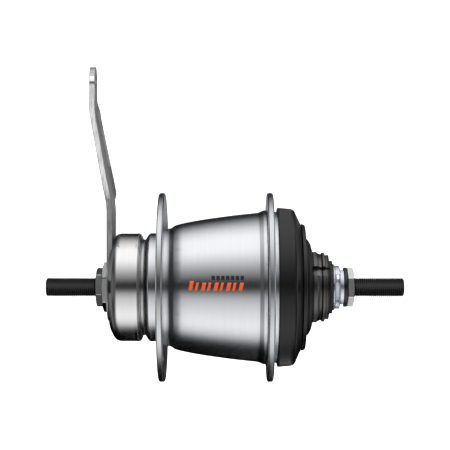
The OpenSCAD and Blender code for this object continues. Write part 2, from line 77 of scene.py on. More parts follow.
class Nodes:
    """A node tree being built: its methods add nodes and return their outputs."""

    def __init__(self, tree):
        self.tree = tree

    def fill(self, socket, value):
        """Links an output to the socket, or sets a constant on it."""
        if hasattr(value, "is_output"):
            self.tree.links.new(value, socket)
        else:
            socket.default_value = value

    def node(self, kind, links=(), **settings):
        made = self.tree.nodes.new(kind)
        for key, value in settings.items():
            setattr(made, key, value)
        for socket, value in links:
            self.fill(made.inputs[socket], value)
        return made

    def math(self, operation, a, b=0.0, clamp=False):
        made = self.node("ShaderNodeMath", [(0, a), (1, b)], operation=operation, use_clamp=clamp)
        return made.outputs[0]

    def vector(self, x, y, z):
        return self.node("ShaderNodeCombineXYZ", [(0, x), (1, y), (2, z)]).outputs[0]

    def parts(self, vector):
        """The x, y and z of a vector."""
        return self.node("ShaderNodeSeparateXYZ", [(0, vector)]).outputs

    def noise(self, where, scale, detail=3.0, roughness=0.55):
        links = [("Vector", where), ("Scale", scale), ("Detail", detail), ("Roughness", roughness)]
        return self.node("ShaderNodeTexNoise", links).outputs["Fac"]

    def spread(self, value, low, high, to_low, to_high, curve="LINEAR"):
        """The value, carried over from the span low to high to the span to_low to to_high."""
        links = [(0, value), (1, low), (2, high), (3, to_low), (4, to_high)]
        return self.node("ShaderNodeMapRange", links, interpolation_type=curve).outputs[0]

    def blend(self, share, first, second):
        made = self.node("ShaderNodeMix", data_type="RGBA")
        for name, value in (("Factor_Float", share), ("A_Color", first), ("B_Color", second)):
            self.fill(next(s for s in made.inputs if s.identifier == name), value)
        return next(s for s in made.outputs if s.identifier == "Result_Color")


MATERIALS = {}           # every material, by the name that it was made with


class Shader(Nodes):
    """A material being built on its Principled BSDF."""

    def __init__(self, name):
        material = bpy.data.materials.new(name)
        material.use_nodes = True
        super().__init__(material.node_tree)
        MATERIALS[name] = material
        self.surface = self.tree.nodes["Principled BSDF"]

    def set(self, socket, value):
        self.fill(self.surface.inputs[socket], value)

    def bump(self, height, strength, depth):
        links = [("Height", height), ("Strength", strength), ("Distance", depth)]
        self.set("Normal", self.node("ShaderNodeBump", links).outputs[0])

    def point(self):
        """Where the shaded point is, in the frame's own coordinates."""
        return self.node("ShaderNodeTexCoord").outputs["Object"]

    def from_axle(self, y, z):
        """The distance from the axle."""
        return self.math("SQRT", self.math("ADD", self.math("MULTIPLY", y, y), self.math("MULTIPLY", z, z)))

    def ring(self, x, left, right, soft):
        """1 between left and right along the axle, falling to 0 over soft more, in millimetres."""
        away = self.math("ABSOLUTE", self.math("SUBTRACT", x, (left + right) / 2 * MM))
        half = (right - left) / 2
        return self.spread(away, half * MM, (half + soft) * MM, 1.0, 0.0)


def grey(level, warmth=0.0):
    """A colour near grey: warmth above 0 leans to yellow, below 0 to blue."""
    return (level * (1 + warmth), level, level * (1 - warmth), 1.0)


def turned_marks(shader, x, y, z, radius, lines_per_m):
    """Noise that is drawn out round the axle, as turning and brushing leave it."""
    across = shader.math("ADD", x, shader.math("MULTIPLY", radius, 0.9))
    safe = shader.math("MAXIMUM", radius, 0.5 * MM)
    where = shader.vector(shader.math("MULTIPLY", across, lines_per_m),
                          shader.math("DIVIDE", y, safe), shader.math("DIVIDE", z, safe))
    return shader.noise(where, 1.0, 4.0, 0.7)


def turned_metal(name, light, dark, rough, rough_spread, lines_per_m, line_depth, anisotropy=0.0,
                 blotch=0.0, shade_and_light_bands=()):
    """Metal with marks round the axle: light and dark are its colours in and between the marks.

    The bands are rings painted darker or lighter: painted shade in grooves, creases and by steps, painted
    light beside a groove, as (from x, to x, softness, grey level) in millimetres.
    """
    shader = Shader(name)
    point = shader.point()
    x, y, z = shader.parts(point)
    radius = shader.from_axle(y, z)
    fine = turned_marks(shader, x, y, z, radius, lines_per_m)
    broad = turned_marks(shader, x, y, z, radius, lines_per_m / 6)
    marks = shader.math("ADD", shader.math("MULTIPLY", fine, 0.6), shader.math("MULTIPLY", broad, 0.4))
    stain = shader.noise(point, 70.0, 5.0, 0.6)
    stained = shader.math("MULTIPLY", shader.math("SUBTRACT", stain, 0.5), blotch)
    mixed = shader.math("ADD", shader.spread(marks, 0.3, 0.7, 0.0, 1.0), stained, clamp=True)
    colour = shader.blend(mixed, dark, light)
    # painted shade and painted light, ring by ring along the axle
    for left, right, soft, level in shade_and_light_bands:
        colour = shader.blend(shader.ring(x, left, right, soft), colour, grey(level, -0.02))
    shader.set("Base Color", colour)
    uneven = shader.math("ADD", marks, shader.math("MULTIPLY", stain, 0.25))
    shader.set("Roughness", shader.spread(uneven, 0.3, 0.95, rough - rough_spread, rough + rough_spread))
    shader.set("Metallic", 1.0)
    if anisotropy:
        shader.set("Anisotropic", anisotropy)
        shader.set("Anisotropic Rotation", 0.25)
        tangent = shader.node("ShaderNodeTangent", direction_type="RADIAL", axis="X")
        shader.set("Tangent", tangent.outputs[0])
    shader.bump(marks, 0.35, line_depth)


def cast_metal(name, light, dark, rough, grain, grain_depth, metallic=1.0):
    """Metal with no direction: pressed, forged or plated."""
    shader = Shader(name)
    point = shader.point()
    fine = shader.noise(point, grain, 6.0, 0.65)
    broad = shader.noise(point, grain / 14, 4.0, 0.6)
    both = shader.math("ADD", shader.math("MULTIPLY", fine, 0.5), shader.math("MULTIPLY", broad, 0.5))
    shader.set("Base Color", shader.blend(shader.spread(both, 0.35, 0.65, 0.0, 1.0), dark, light))
    shader.set("Roughness", shader.spread(both, 0.35, 0.65, rough * 0.8, rough * 1.25))
    shader.set("Metallic", metallic)
    shader.bump(fine, 0.4, grain_depth)


def thread_metal(name):
    """Black oxide that is rubbed lighter on the crests of the thread and on the flats."""
    shader = Shader(name)
    point = shader.point()
    x, y, z = shader.parts(point)
    scuffs = shader.noise(point, 900.0, 5.0, 0.7)
    crest = shader.spread(shader.from_axle(y, z), CREST_FROM, THREAD_R - 0.05 * MM, 0.0, 1.0)
    rubbed = shader.math("MULTIPLY", crest, shader.spread(scuffs, 0.42, 0.62, 0.15, 1.0))
    outward = shader.math("SUBTRACT", shader.math("MULTIPLY", z, math.cos(FLAT_CLOCK)),
                          shader.math("MULTIPLY", y, math.sin(FLAT_CLOCK)))
    off_flat = shader.math("ABSOLUTE", shader.math("SUBTRACT", shader.math("ABSOLUTE", outward), FLAT_R))
    at_end = shader.spread(shader.math("ABSOLUTE", x), FLAT_FROM, FLAT_FROM + 0.1 * MM, 0.0, 1.0)
    flat = shader.math("MULTIPLY", shader.spread(off_flat, 0.02 * MM, 0.05 * MM, 1.0, 0.0), at_end)
    coat = shader.blend(rubbed, grey(0.007), grey(0.07))
    shader.set("Base Color", shader.blend(flat, coat, grey(0.05)))
    shader.set("Roughness", shader.spread(scuffs, 0.3, 0.7, 0.34, 0.5))
    shader.set("Metallic", 0.65)
    shader.bump(scuffs, 0.25, 0.02 * MM)


def sheared_metal(name):
    """Plated pressed plate: smooth faces, edges streaked by the press tool and darker low down, a painted
    highlight on the tip, and painted shade in the nick under it.
    """
    shader = Shader(name)
    point = shader.point()
    x, y, z = shader.parts(point)
    facing = shader.parts(shader.node("ShaderNodeNewGeometry").outputs["True Normal"])[1]
    edge = shader.spread(shader.math("ABSOLUTE", facing), 0.90, 0.96, 0.0, 1.0)
    streak_at = shader.vector(shader.math("MULTIPLY", x, 2.2), shader.math("MULTIPLY", y, 0.4),
                              shader.math("MULTIPLY", z, 0.16))
    streaks = shader.noise(streak_at, 900.0, 6.0, 0.75)
    mottle = shader.noise(point, 260.0, 5.0, 0.6)
    uneven_z = shader.math("ADD", z, shader.math("MULTIPLY", mottle, 14 * MM))
    higher_up = shader.spread(uneven_z, 50 * MM, 57 * MM, 0.0, 1.0)     # the edge is darker below this height
    # painted highlight: the edge above the nick is painted near white
    tip = shader.spread(z, ARM_NOTCH_Z, ARM_NOTCH_Z + MM, 0.0, 1.0)
    valley = shader.blend(higher_up, grey(0.13), grey(0.36))
    ridge = shader.blend(higher_up, grey(0.30), grey(0.85))
    sheared = shader.blend(shader.spread(streaks, 0.35, 0.60, 0.0, 1.0), valley, ridge)
    sheared = shader.blend(tip, sheared, grey(0.98))
    face = shader.blend(mottle, grey(0.38), grey(0.52))
    colour = shader.blend(edge, face, sheared)
    # painted shade: a near black line across the edges in the nick under the tip
    off_notch = shader.math("ABSOLUTE", shader.math("SUBTRACT", z, ARM_NOTCH_Z))
    notch = shader.math("MULTIPLY", shader.spread(off_notch, 0.4 * MM, 0.7 * MM, 1.0, 0.0), edge)
    shader.set("Base Color", shader.blend(notch, colour, grey(0.03)))
    shader.set("Roughness", shader.math("ADD", shader.spread(mottle, 0.3, 0.7, 0.26, 0.36),
                                        shader.math("MULTIPLY", edge, 0.12)))
    shader.set("Metallic", shader.spread(edge, 0.0, 1.0, 0.85, 0.15))
    height = shader.math("ADD", shader.math("MULTIPLY", mottle, 0.4),
                         shader.math("MULTIPLY", shader.math("MULTIPLY", streaks, edge), 1.6))
    shader.bump(height, 0.5, 0.05 * MM)


def matt_coat(name, colour, light, rough, grain, grain_depth, dull=()):
    """Paint, rubber or plastic with a fine grain and faint handling marks.

    Dull rings are (from x, to x, softness) in millimetres and the reflection that they keep.
    """
    shader = Shader(name)
    point = shader.point()
    fine = shader.noise(point, grain, 3.0, 0.6)
    broad = shader.noise(point, 55.0, 5.0, 0.6)
    shader.set("Base Color", shader.blend(shader.spread(broad, 0.35, 0.7, 0.0, 1.0), colour, light))
    shader.set("Roughness", shader.spread(broad, 0.3, 0.7, rough - 0.06, rough + 0.06))
    if dull:
        x = shader.parts(point)[0]
        shine = 0.5
        for left, right, soft, level in dull:
            inside = shader.ring(x, left, right, soft)
            change = shader.math("MULTIPLY", inside, shader.math("SUBTRACT", level, shine))
            shine = shader.math("ADD", shine, change)
        shader.set("Specular IOR Level", shine)
    shader.bump(fine, 0.5, grain_depth)


def printed(name, colour):
    """Printed colour with fine darker specks."""
    shader = Shader(name)
    speck = shader.noise(shader.point(), 2500.0, 3.0, 0.6)
    darker = tuple(0.8 * c for c in colour[:3]) + (1.0,)
    shader.set("Base Color", shader.blend(speck, darker, colour))
    shader.set("Roughness", shader.spread(speck, 0.3, 0.7, 0.4, 0.55))


turned_metal("shell_steel", grey(0.78, -0.02), grey(0.72, -0.022), 0.22, 0.02, 3200.0, 0.0018 * MM,
             anisotropy=0.85, blotch=0.08,
             shade_and_light_bands=[(-26.5, -24.8, 3.6, 0.37), (-27.7, -25.6, 0.6, 0.22),    # painted shade at the shoulder by the left flange
                    (-53.0, -41.2, 0.4, 0.02), (-39.9, -38.9, 0.4, 0.10),    # painted shade in the neck by the brake cap
                    (17.4, 19.3, 0.3, 0.52)])                                # painted shade at the step by the right flange
turned_metal("flange_steel", grey(0.66, -0.02), grey(0.58, -0.02), 0.20, 0.02, 2600.0, 0.001 * MM,
             blotch=0.15)
turned_metal("bright_cap", grey(0.80, 0.008), grey(0.72, 0.006), 0.18, 0.03, 2600.0, 0.0012 * MM,
             anisotropy=0.8, blotch=0.10,
             shade_and_light_bands=[(-61.0, -55.6, 1.6, 0.20), (-41.6, -41.0, 0.3, 0.30)])   # painted shade on the rim of the dome, and in the lip
matt_coat("black_cap", grey(0.004), grey(0.007), 0.29, 1600.0, 0.012 * MM,
          dull=[(26.0, 35.2, 0.2, 0.41), (35.7, 38.7, 0.2, 0.12),            # outer cap's rim and slope
                (41.0, 45.0, 0.4, 0.16)])                                    # inner cap
thread_metal("black_oxide")
turned_metal("dark_steel", grey(0.16, 0.05), grey(0.09, 0.04), 0.30, 0.05, 1400.0, 0.01 * MM,
             shade_and_light_bands=[(46.8, 48.1, 0.3, 0.19), (49.0, 49.6, 0.2, 0.012),       # painted light beside the groove, and painted shade in it
                    (52.4, 60.0, 1.2, 0.03)])                                # darker at the open end of the driver
cast_metal("plated_steel", grey(0.50), grey(0.40), 0.17, 1400.0, 0.006 * MM)
turned_metal("bright_nut", grey(0.72), grey(0.64), 0.13, 0.02, 1400.0, 0.004 * MM,
             shade_and_light_bands=[(62.0, 62.9, 0.15, 0.05)])                               # shaded by the washer
cast_metal("washer_black", grey(0.065, 0.06), grey(0.04, 0.05), 0.3, 1400.0, 0.01 * MM)
cast_metal("bright_zinc", (0.80, 0.83, 0.90, 1.0), (0.62, 0.65, 0.74, 1.0), 0.26, 1300.0, 0.012 * MM)
cast_metal("sleeve_zinc", (0.93, 0.95, 1.0, 1.0), (0.84, 0.87, 0.94, 1.0), 0.45, 1300.0, 0.008 * MM,
           metallic=0.1)
sheared_metal("arm_steel")
matt_coat("seal_rubber", grey(0.012), grey(0.018), 0.62, 1800.0, 0.03 * MM)
cast_metal("gear_steel", grey(0.42, 0.03), grey(0.30, 0.02), 0.34, 1500.0, 0.01 * MM)
cast_metal("ball_steel", grey(0.86), grey(0.80), 0.1, 2500.0, 0.001 * MM)
matt_coat("cage_nylon", (0.36, 0.27, 0.15, 1), (0.42, 0.32, 0.19, 1), 0.5, 900.0, 0.02 * MM)
cast_metal("spring_steel", grey(0.5), grey(0.38), 0.3, 2000.0, 0.01 * MM)
cast_metal("friction", (0.20, 0.14, 0.10, 1), (0.13, 0.10, 0.08, 1), 0.6, 1200.0, 0.05 * MM,
           metallic=0.6)
printed("orange_print", (0.83, 0.13, 0.03, 1))
printed("black_print", (0.012, 0.012, 0.013, 1))


def dress(thing, look):
    """Gives the thing one material, by its name."""
    thing.data.materials.clear()
    thing.data.materials.append(MATERIALS[look])


# ---------------------------------------------------------------- outlines of the turned pieces

# (radius, x) in millimetres: the outside of the shell's barrel, between the flanges
BARREL = [
    (31, -26.8), (31.7, -26), (32.6, -23.2), (33.7, -18), (34.6, -12.9), (35.4, -7.8), (36.1, -2.6),
    (36.8, 2.6), (37.4, 7.7), (37.9, 12.6), (38.3, 16.3)]

# (radius, x) in millimetres, in order round each closed outline
OUTLINES = {
    "brake_cap": [
        (9.1, -57), (17.4, -57), (17.4, -59.4), (21.5, -58.7), (23.9, -57.6), (25.8, -56.6), (26.8, -55.6),
        (27.4, -54.6), (27.7, -53.4), (27.7, -45.2), (27.9, -44), (27.3, -42.9), (26.2, -42.3),
        (25.1, -41.9), (25.1, -43.4), (26, -44.4), (26.2, -45.4), (26.2, -53), (25.6, -54.4), (24.4, -55.4),
        (22.6, -55.8), (9.1, -55.8)],
    "hub_shell": [
        (21.95, -53), (24, -53), (24, -40.8), (24.9, -40.6), (27.1, -39.2), (27.85, -38.2), (27.85, -33.8),
        (30.2, -33.8), (30.2, -28.3), *BARREL, (38.5, 17.2), (39.45, 19.3), (39.6, 19.9), (39.6, 21.2),
        (38.8, 21.3), (38.8, 30), (35.8, 30), (35.8, 10.5), (34.4, 9), (33.4, 0), (31.2, -14),
        (28.8, -24.5), (27.3, -26.2), (27.3, -31), (21, -31), (21, -47.2), (21.95, -47.6)],
    "left_dust_ring": [(24, -44), (24.65, -44), (24.65, -40.8), (24, -40.8)],
    "outer_dust_cap": [
        (38.8, 26.6), (40.5, 26.6), (40.9, 27), (40.9, 27.5), (40.4, 33.2), (40.1, 34.6), (39.4, 35.5),
        (33.6, 38.1), (32.9, 38.5), (31.7, 38.5), (31.7, 37.4), (38, 34.6), (38.8, 33)],
    "driver_dust_cap": [
        (22, 39.2), (31.8, 39.2), (32.3, 38.9), (32.6, 39.2), (32.2, 40.6), (31.7, 40.9), (26, 40.9),
        (24.9, 41.3), (24.7, 42.2), (24.1, 42.7), (23.3, 43.2), (22.4, 43.8), (20.5, 44.3), (18.4, 44.8),
        (17.8, 44.8), (17.8, 43.4), (22, 42.2)],
    "driver": [
        (10.2, 1.2), (22, 1.2), (22, 8.8), (20.5, 8.8), (20.5, 9.6), (23.1, 9.6), (23.1, 17.4), (24.4, 18),
        (24.4, 21.6), (25.6, 22.4), (25.6, 30.4), (22, 31), (22, 42.2), (17.8, 43.4), (17.8, 44.85),
        (18.2, 44.85), (18.2, 46.7), (17.7, 47.3), (17.2, 48.2), (17, 49.2), (17.8, 49.4), (17.8, 50.8),
        (16.6, 51.2), (16.6, 53), (14.95, 53), (14.95, 45.5), (10.2, 44.6)],
    "right_cone": [
        (8.2, 46.8), (9.85, 46.8), (9.85, 53.2), (11.5, 53.2), (11.5, 55.2), (11.9, 55.4), (11.9, 55.9),
        (11.1, 56.3), (11.1, 58.5), (9.9, 58.9), (9.9, 60.7), (5, 60.7), (5, 58.6), (8.2, 58.6)],
    "right_cone_seal": [(11.5, 53.3), (13.6, 53.3), (13.6, 54.9), (11.5, 54.9)],
    "right_washer": [(5, 60.9), (10.15, 60.9), (10.15, 62.39), (5, 62.39)],
}


def outline_of(name):
    """The outline as (x, radius) in metres."""
    return [(x * MM, r * MM) for r, x in OUTLINES[name]]


ARC_STEPS = 4            # steps in each rounded corner
STRAIGHT = 0.01          # radians: a smaller turn is not a corner
SHALLOW = 0.5            # radians: a smaller turn is rounded as far as its sides allow
ARC_SHARE = 0.45         # most that an arc takes of the shorter side
HOLD_GAP = 0.12 * MM     # from each end of an arc to the point that keeps the face flat
HOLD_SHARE = 0.49        # most that the arc and its gap take of the shorter side


def rounded(outline, radius):
    """The closed outline with its corners rounded: sharp ones to radius, shallow ones as far as they go.

    A point just outside each arc keeps the long faces flat when they are shaded smooth.
    """
    soft = []
    count = len(outline)
    for i in range(count):
        before, here, after = (Vector(outline[(i + k) % count]) for k in (-1, 0, 1))
        come, go = here - before, after - here
        turn = come.angle(go, 0.0)
        if turn < STRAIGHT:
            soft.append(tuple(here))
            continue
        shorter = min(come.length, go.length)
        room = ARC_SHARE * shorter
        reach = room if turn < SHALLOW else min(room, radius * math.tan(turn / 2))
        hold = min(reach + HOLD_GAP, HOLD_SHARE * shorter)
        start, end = here - come.normalized() * reach, here + go.normalized() * reach
        arc = [here - come.normalized() * hold]
        for k in range(ARC_STEPS + 1):
            t = k / ARC_STEPS
            arc.append(start * (1 - t) ** 2 + here * 2 * t * (1 - t) + end * t ** 2)
        arc.append(here + go.normalized() * hold)
        soft += [(point.x, max(point.y, 0.0)) for point in arc]
    return soft


# ---------------------------------------------------------------- mesh helpers

SAME_POINT = 1e-7        # vertices this close are one
NO_LENGTH = 1e-8         # edges this short are taken away


def piece_from(name, build, smooth=True):
    """A new mesh object whose mesh the function build fills."""
    mesh = bpy.data.meshes.new(name)
    made = bmesh.new()
    build(made)
    bmesh.ops.remove_doubles(made, verts=made.verts, dist=SAME_POINT)
    bmesh.ops.dissolve_degenerate(made, dist=NO_LENGTH, edges=made.edges)
    bmesh.ops.recalc_face_normals(made, faces=made.faces)
    made.to_mesh(mesh)
    made.free()
    thing = bpy.data.objects.new(name, mesh)
    bpy.context.scene.collection.objects.link(thing)
    if smooth:
        shade_smooth(thing)
    return thing


def shade_smooth(thing):
    thing.data.polygons.foreach_set("use_smooth", [True] * len(thing.data.polygons))


def keep_sharp(thing, degrees):
    """Smooth shading stops at the edges that turn by more than this."""
    thing.data.set_sharp_from_angle(angle=math.radians(degrees))


def ring_at(made, x, radius_at, segments):
    """A ring of vertices at x; radius_at gives the radius at each clock angle."""
    ring = []
    for k in range(segments):
        angle = TAU * k / segments
        radius = radius_at(angle)
        ring.append(made.verts.new((x, -radius * math.sin(angle), radius * math.cos(angle))))
    return ring


def bridge(made, first, second):
    """Faces between two rings of the same count."""
    count = len(first)
    for k in range(count):
        made.faces.new((first[k], first[(k + 1) % count], second[(k + 1) % count], second[k]))


def revolve(name, outline, segments=ROUND_SEGMENTS):
    """Solid of revolution of a closed outline of (x, radius)."""
    def build(made):
        rings = [ring_at(made, x, lambda _: r, segments) for x, r in outline]
        for first, second in zip(rings, rings[1:] + rings[:1]):
            bridge(made, first, second)
    return piece_from(name, build)


def cut(thing, cutters):
    """Takes the cutters away from the thing, and removes them."""
    first = cutters[0]
    made = bmesh.new()
    for cutter in cutters:
        made.from_mesh(cutter.data)
    made.to_mesh(first.data)
    made.free()
    boolean = thing.modifiers.new("cut", "BOOLEAN")
    boolean.operation = "DIFFERENCE"
    boolean.solver = "EXACT"
    boolean.object = first
    bpy.context.view_layer.update()
    result = thing.evaluated_get(bpy.context.evaluated_depsgraph_get())
    shape = bpy.data.meshes.new_from_object(result)
    thing.modifiers.clear()
    thing.data = shape
    for cutter in cutters:
        bpy.data.objects.remove(cutter)


def stand_for(thing, body, slot, node=None, look=None):
    """The finished piece rides on a body in place of a CAD node, dressed in the look, or else in the
    material named by the slot.
    """
    dress(thing, look or slot)
    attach(thing, body)
    if node:
        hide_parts(node)


def bar(name, corners, x0, x1):
    """A prism between x0 and x1; corners are (up, across) where across grows with the clock angle."""
    def build(made):
        first, last = [[made.verts.new((x, -v, u)) for u, v in corners] for x in (x0, x1)]
        bridge(made, first, last)
        made.faces.new(first[::-1])
        made.faces.new(last)
    return piece_from(name, build, smooth=False)


def pin(name, x0, x1, up, across, radius, segments, mouth=0.0):
    """A round cutter along X, flared by mouth at both ends."""
    def build(made):
        stations = [(x0, radius), (x1, radius)]
        if mouth:
            deep = mouth * 1.5
            flare = radius + mouth + deep
            stations = [(x0 - deep, flare), (x0 + mouth, radius), (x1 - mouth, radius), (x1 + deep, flare)]
        turns = [TAU * k / segments for k in range(segments)]
        rings = [[made.verts.new((x, r * math.sin(t) - across, up + r * math.cos(t))) for t in turns]
                 for x, r in stations]
        for first, second in zip(rings, rings[1:]):
            bridge(made, first, second)
        made.faces.new(rings[0][::-1])
        made.faces.new(rings[-1])
    return piece_from(name, build, smooth=False)


def at_clock(radius, angle):
    """(up, across) at a radius and a clock angle in degrees."""
    return radius * math.cos(math.radians(angle)), radius * math.sin(math.radians(angle))


def turned(points, angle):
    """(up, across) points turned by a clock angle in degrees."""
    c, s = math.cos(math.radians(angle)), math.sin(math.radians(angle))
    return [(u * c - v * s, u * s + v * c) for u, v in points]


def ends(node):
    """Left x and right x of a CAD node."""
    low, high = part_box(node)
    return low.x, high.x


def farthest(node):
    """The vertex of a CAD node that is farthest from the axle."""
    return max((v.co for v in frame["nodes"][node].data.vertices), key=lambda co: math.hypot(co.y, co.z))


# ---------------------------------------------------------------- axle and nuts

CREST_SHARE = 0.16       # of a turn's half that is flat at the crest, and as much at the root


def thread_radius(x, angle):
    """Radius of a right-hand 60-degree thread with flat crests and roots."""
    phase = (x / THREAD_PITCH + angle / TAU) % 1.0
    rise = abs(phase - 0.5) * 2
    height = min(max((rise - CREST_SHARE) / (1 - 2 * CREST_SHARE), 0.0), 1.0)
    return THREAD_R - THREAD_DEPTH * (1 - height)


def end_radius(x, angle, cap):
    """The thread, cut down by the rounded end (cap) and by the two flats."""
    radius = min(thread_radius(x, angle), cap)
    square_on = abs(math.cos(angle - FLAT_CLOCK))
    if abs(x) > FLAT_FROM and square_on > 0.5:
        radius = min(radius, FLAT_R / square_on)
    return radius


def axle_rings(made):
    """Rings along the axle: close together on the threads, far apart on the plain middle."""
    left, right = ends("axle")
    middle_r = math.hypot(*farthest("axle").yz)
    rings_per_turn, close_near_ends, keep_each = 10, 2 * MM, 40
    steps = int(round((right - left) / (THREAD_PITCH / rings_per_turn)))
    rings = []
    for k in range(steps + 1):
        x = left + (right - left) * k / steps
        if MIDDLE_FROM < x < MIDDLE_TO:
            if min(x - MIDDLE_FROM, MIDDLE_TO - x) <= close_near_ends or k % keep_each == 0:
                rings.append(ring_at(made, x, lambda _: middle_r, AXLE_SEGMENTS))
            continue
        from_end = min(x - left, right - x)
        turn = max(1.0 - from_end / AXLE_END_SOFT, 0.0)
        cap = THREAD_R - AXLE_END_SOFT * (1 - math.sqrt(1 - turn * turn))
        rings.append(ring_at(made, x, lambda a: end_radius(x, a, cap), AXLE_SEGMENTS))
    return rings


def pawl_pocket():
    """(up, across) outline of a sun pawl's pocket: a round seat for its foot, open past the axle's side."""
    foot_up, foot_across, seat_r = 4.4, 2.2, 1.65
    seat = [(foot_up + seat_r * math.cos(math.radians(a)), foot_across + seat_r * math.sin(math.radians(a)))
            for a in range(20, 257, 12)]
    way_out = [(4.0, -2.8), (7.5, -2.8), (7.5, 2.4)]
    return [(u * MM, v * MM) for u, v in way_out + seat]


def make_axle():
    def build(made):
        rings = axle_rings(made)
        for first, second in zip(rings, rings[1:]):
            bridge(made, first, second)
        for ring in (rings[0][::-1], rings[-1]):
            middle = made.verts.new((ring[0].co.x, 0, 0))
            for k in range(AXLE_SEGMENTS):
                made.faces.new((ring[k], ring[(k + 1) % AXLE_SEGMENTS], middle))
    axle = piece_from("threaded_axle", build)
    pockets_to = -1.8 * MM
    cut(axle, [bar("pocket_cutter", turned(pawl_pocket(), clock), pockets_from * MM, pockets_to)
               for clock, pockets_from in ((90, -23.7), (270, -14.3))])
    keep_sharp(axle, 40)
    stand_for(axle, "axle_group", "black_oxide", "axle")


NUT_CONE = 0.26                  # depth of the corner chamfer for each unit of radius
NUT_FACE_INSET = 0.15 * MM       # from the flats in to the round edge of each face
NUT_CORNER_CUT = 0.12 * MM       # the corners are this much blunter than the solid's
NUT_MOUTH = 0.35 * MM            # the bore opens this much at both faces
NUT_MOUTH_DEPTH = 0.4 * MM
CONE_STEPS = 8


def make_nut(name, look, inner_cone=NUT_CONE):
    """Hexagon nut: flats, and corners cut by a shallow cone at both faces."""
    left, right = ends(name)
    corner = farthest(name)
    corner_at = math.atan2(-corner.y, corner.z)
    full_r = math.hypot(corner.y, corner.z)
    flat_r = full_r * math.cos(math.pi / 6)
    face_r = flat_r - NUT_FACE_INSET
    corner_r = full_r - NUT_CORNER_CUT

    def hexagon(angle):
        turn = (angle - corner_at) % (TAU / 6) - TAU / 12
        return min(flat_r / math.cos(turn), corner_r)

    def build(made):
        depth = (corner_r - face_r) * max(NUT_CONE, inner_cone)
        inward = [depth * k / CONE_STEPS for k in range(CONE_STEPS + 1)]
        rings = [ring_at(made, left, lambda _: THREAD_R + NUT_MOUTH, NUT_SEGMENTS)]
        for x in [left + d for d in inward] + [right - d for d in inward[::-1]]:
            cone = face_r + min((x - left) / inner_cone, (right - x) / NUT_CONE)
            rings.append(ring_at(made, x, lambda a: min(hexagon(a), cone), NUT_SEGMENTS))
        rings.append(ring_at(made, right, lambda _: THREAD_R + NUT_MOUTH, NUT_SEGMENTS))
        rings.append(ring_at(made, right - NUT_MOUTH_DEPTH, lambda _: THREAD_R, NUT_SEGMENTS))
        rings.append(ring_at(made, left + NUT_MOUTH_DEPTH, lambda _: THREAD_R, NUT_SEGMENTS))
        for first, second in zip(rings, rings[1:] + rings[:1]):
            bridge(made, first, second)
    nut = piece_from(name + "_hex", build)
    keep_sharp(nut, 24)
    stand_for(nut, "axle_group", "plated_steel", name, look)


# ---------------------------------------------------------------- brake side

ARM_THICK = 3.0 * MM
ARM_LEAN = 9.3 * MM              # how far the two bends carry the blade outwards
ARM_BEND_FROM = 42 * MM
ARM_BEND_TO = 90 * MM
ARM_BEND_SOFT = 3.5 * MM
ARM_TIP_R = 8.0 * MM
ARM_EDGE_SOFT = 0.45 * MM
ARM_CLIP_R = 3.25 * MM
ARM_EYE_HOLE_R = 8.9 * MM
ARM_NOTCH_DEPTH = 0.4 * MM
ARM_NOTCH_HALF = 0.6 * MM
ARM_LEAST_HALF = 0.01 * MM       # half the width at the very ends
# half the arm's width at each height, in millimetres, from the eye to the round tip
ARM_HALF_WIDTHS = [(0, 14), (40, 14), (45, 14.5), (49, 15.6), (53, 16), (57, 15.6), (66, 13.4), (76, 11.5),
                   (86, 9.6), (93, 8.2), (97, 8)]


def clamped(value):
    return min(max(value, 0.0), 1.0)


def eased(share):
    """0 to 1 with a soft start and a soft end."""
    return share * share * (3 - 2 * share)


def along(table, at):
    """The value at a place in a table of (place, value)."""
    for (low, a), (high, b) in zip(table, table[1:]):
        if at <= high:
            return a + (b - a) * (at - low) / (high - low)
    return table[-1][1]


def arm_half_width(z, eye_r, top):
    """Half the width at height z: round at the eye and at the tip, with the nick under the tip."""
    if z > top - ARM_TIP_R:
        return math.sqrt(max(ARM_TIP_R ** 2 - (z - top + ARM_TIP_R) ** 2, ARM_LEAST_HALF ** 2))
    if z < 0:
        return math.sqrt(max(eye_r ** 2 - z * z, ARM_LEAST_HALF ** 2))
    round_eye = math.sqrt(eye_r ** 2 - z * z) if z < eye_r else 0.0
    blade = sum(along(ARM_HALF_WIDTHS, z / MM + d) for d in (-1.2, -0.4, 0.4, 1.2)) / 4 * MM
    nick = ARM_NOTCH_DEPTH if abs(z - ARM_NOTCH_Z) < ARM_NOTCH_HALF else 0.0
    return max(round_eye, blade) - nick


def arm_offset(z):
    """How far the plate has moved outwards at height z, as the mean over the softness of the bends."""
    spots = [z + ARM_BEND_SOFT * k / 4 for k in range(-4, 5)]
    bent = [clamped((spot - ARM_BEND_FROM) / (ARM_BEND_TO - ARM_BEND_FROM)) for spot in spots]
    return -ARM_LEAN * sum(bent) / len(bent)


def arm_lip(z):
    """How far the rear edge is turned in at height z."""
    deepest, starts, full, fades, gone = 1.45 * MM, 44 * MM, 49 * MM, 90 * MM, 97 * MM
    return deepest * eased(clamped((z - starts) / (full - starts)) * clamped((gone - z) / (gone - fades)))


